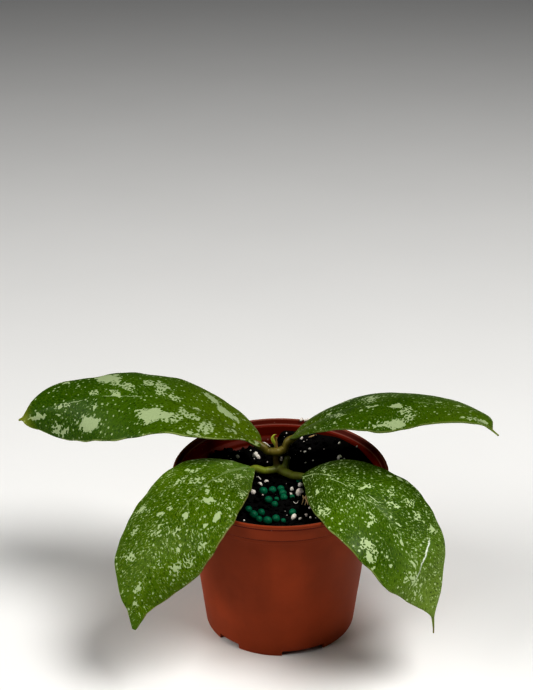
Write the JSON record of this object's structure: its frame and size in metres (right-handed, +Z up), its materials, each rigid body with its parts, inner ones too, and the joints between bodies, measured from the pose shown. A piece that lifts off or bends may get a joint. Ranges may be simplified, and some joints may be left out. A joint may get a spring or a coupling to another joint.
{
  "type": "potted hoya plant",
  "caption": "Young potted hoya: large, arching, speckled oval leaves in pairs on a short stem, standing in potting mix in a round terracotta-coloured nursery pot.",
  "frame": {"origin": "centre of the pot's underside, on the surface that it stands on", "axes": "+Z up, +X towards the upper right leaf as seen from the front, -Y the front, where the two lower leaves hang over the rim"},
  "size_m": [0.2322, 0.1247, 0.1277],
  "materials": {
    "pot_plastic": "satin injection-moulded terracotta-brown plastic",
    "potting_mix": "dark, damp, crumbly peat and bark mix with white perlite and green feed beads",
    "green_stem": "smooth olive-green living stem, brownish at the young shoot",
    "upper_leaf": "waxy semi-gloss leaf, deep green with silver-sage patches and flecks",
    "lower_leaf": "waxy semi-gloss leaf, mid green, densely flecked with silver-sage"
  },
  "bodies": {
    "root": {"pot": "pot_plastic", "soil": "potting_mix", "stem": "green_stem", "leaf_upper_left": "upper_leaf", "leaf_upper_right": "upper_leaf", "leaf_lower_left": "lower_leaf", "leaf_lower_right": "lower_leaf"}
  },
  "joints": []
}
